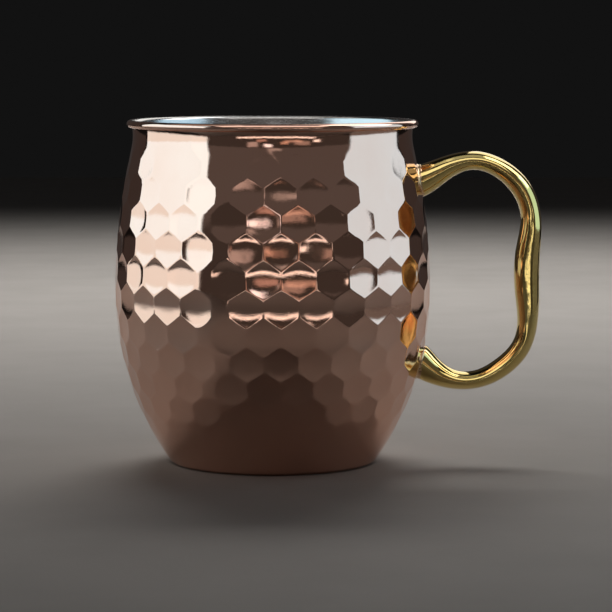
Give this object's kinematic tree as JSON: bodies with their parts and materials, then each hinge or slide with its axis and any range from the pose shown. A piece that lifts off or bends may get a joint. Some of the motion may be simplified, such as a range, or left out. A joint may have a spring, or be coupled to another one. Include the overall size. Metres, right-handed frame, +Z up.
{
  "type": "copper mug",
  "caption": "Barrel-shaped hammered copper mug with a rolled rim, bright steel lining and a cast brass loop handle, for cold drinks.",
  "frame": {"origin": "centre of the ring that the base stands on, on the cup's axis", "axes": "+Z up along the cup's axis, +X from the axis towards the handle, +Y to the left of someone looking along +X"},
  "size_m": [0.1218, 0.09, 0.098],
  "materials": {
    "copper": "polished, hammered",
    "lining_steel": "satin",
    "handle_brass": "polished",
    "brazing_metal": "satin"
  },
  "bodies": {
    "root": {"copper_shell": "copper", "steel_liner": "lining_steel", "brass_handle": "handle_brass", "upper_braze_joint": "brazing_metal", "lower_braze_joint": "brazing_metal"}
  },
  "joints": []
}
